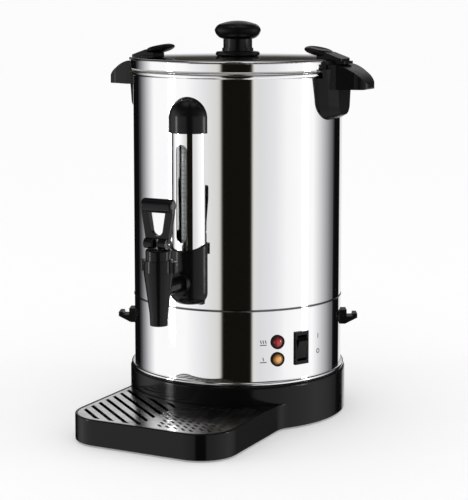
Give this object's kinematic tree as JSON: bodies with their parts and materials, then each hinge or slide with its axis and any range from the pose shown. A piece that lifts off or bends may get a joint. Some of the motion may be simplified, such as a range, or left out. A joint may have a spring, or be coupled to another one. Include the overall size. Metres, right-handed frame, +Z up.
{
  "type": "hot water urn",
  "caption": "Polished steel hot water urn with a lever tap, sight gauge, rocker switch, lock-on lid, side handles and a drip tray in its black base.",
  "frame": {"origin": "on the body's upright axis, at the surface that the urn stands on, in the middle of the centre foot's lower face", "axes": "+Z up, -Y towards the tap and the drip tray, the two handles along X"},
  "size_m": [0.303, 0.3265, 0.4107],
  "materials": {
    "mirror_steel": "mirror polished stainless steel",
    "grille_steel": "polished perforated stainless steel",
    "cover_chrome": "bright chrome",
    "base_black": "moulded, high gloss",
    "plate_grey": "powder coated",
    "foot_rubber": "matt",
    "handle_black": "moulded, satin gloss",
    "tap_black": "moulded, gloss",
    "gauge_glass": "clear",
    "silicone": "translucent silicone",
    "bright_fixings": "turned stainless steel",
    "heat_aluminium": "cast",
    "element_steel": "sheathed tube, heat tinted",
    "sensor_body": "phenolic",
    "wire_cover": "silicone covered wire",
    "inlet_black": "moulded",
    "contact_brass": "stamped",
    "lens_red": "clear tinted",
    "lens_amber": "clear tinted",
    "lamp_white": "moulded",
    "rocker_black": "moulded, gloss"
  },
  "bodies": {
    "urn": {"tank": "mirror_steel", "lower_shell": "mirror_steel", "tank_rim": "mirror_steel", "seam_ring": "mirror_steel", "bottom_trim_ring": "mirror_steel", "gauge_cover": "cover_chrome", "base_housing": "base_black", "base_plate": "plate_grey", "rubber_feet": "foot_rubber", "handle_right": "handle_black", "handle_left": "handle_black", "cord_hooks": "handle_black", "tap_body": "tap_black", "tap_bonnet": "tap_black", "tap_lock_ring": "tap_black", "gauge_lower_block": "tap_black", "gauge_top_cap": "tap_black", "gauge_glass": "gauge_glass", "gauge_seals": "silicone", "tap_gasket": "silicone", "handle_washers": "silicone", "base_screws": "bright_fixings", "tie_rods": "bright_fixings", "tie_nuts": "bright_fixings", "inlet_screws": "bright_fixings", "gauge_cap_screw": "bright_fixings", "handle_screws": "bright_fixings", "tap_inner_nut": "bright_fixings", "heat_plate": "heat_aluminium", "boiling_element": "element_steel", "warming_element": "element_steel", "boil_thermostat": "sensor_body", "warm_thermostat": "sensor_body", "thermal_cutout": "sensor_body", "terminal_block": "sensor_body", "wiring": "wire_cover", "power_inlet": "inlet_black", "switch_frame": "inlet_black", "lamp_bezels": "inlet_black", "inlet_pins": "contact_brass", "switch_terminals": "contact_brass", "red_lens": "lens_red", "amber_lens": "lens_amber", "lamp_bodies": "lamp_white"},
    "grille": {"drip_grille": "grille_steel"},
    "lid_turner": {"lid_seal": "silicone"},
    "lid": {"lid": "mirror_steel", "lid_knob": "handle_black", "knob_screw": "bright_fixings", "knob_washer": "bright_fixings", "lid_ear_right": "handle_black", "lid_ear_left": "handle_black", "ear_rivets": "bright_fixings"},
    "stem": {"tap_stem": "bright_fixings", "tap_seat_cup": "silicone", "tap_spring": "bright_fixings"},
    "lever": {"tap_lever": "tap_black", "tap_lever_pin": "bright_fixings"},
    "rocker": {"switch_rocker": "rocker_black"}
  },
  "joints": [
    {"name": "lid_turn", "type": "hinge", "parent": "urn", "child": "lid_turner", "pos_m": [0, 0, 0.3615], "axis": [0, 0, 1], "range_deg": [0, 45]},
    {"name": "lid_lift", "type": "slide", "parent": "lid_turner", "child": "lid", "axis": [0, 0, 1], "range_m": [0, 0.12]},
    {"name": "grille_lift", "type": "slide", "parent": "urn", "child": "grille", "axis": [0, 0, 1], "range_m": [0, 0.06]},
    {"name": "lever_tilt", "type": "hinge", "parent": "stem", "child": "lever", "pos_m": [0, -0.169, 0.1989], "axis": [1, 0, 0], "range_deg": [0, 60], "stiffness_Nm_per_rad": 0.03, "springref_deg": -20.05},
    {"name": "stem_lift", "type": "slide", "parent": "urn", "child": "stem", "axis": [0, 0, 1], "range_m": [0, 0.004], "deforming": ["tap_spring"]},
    {"name": "switch_rock", "type": "hinge", "parent": "urn", "child": "rocker", "pos_m": [0.0925, -0.04754, 0.0818], "axis": [-0.4571, -0.8894, 0], "range_deg": [0, 20]}
  ],
  "couplings": [
    {"joint": "stem_lift", "follows": "lever_tilt", "m_per_rad": 0.0038197}
  ]
}
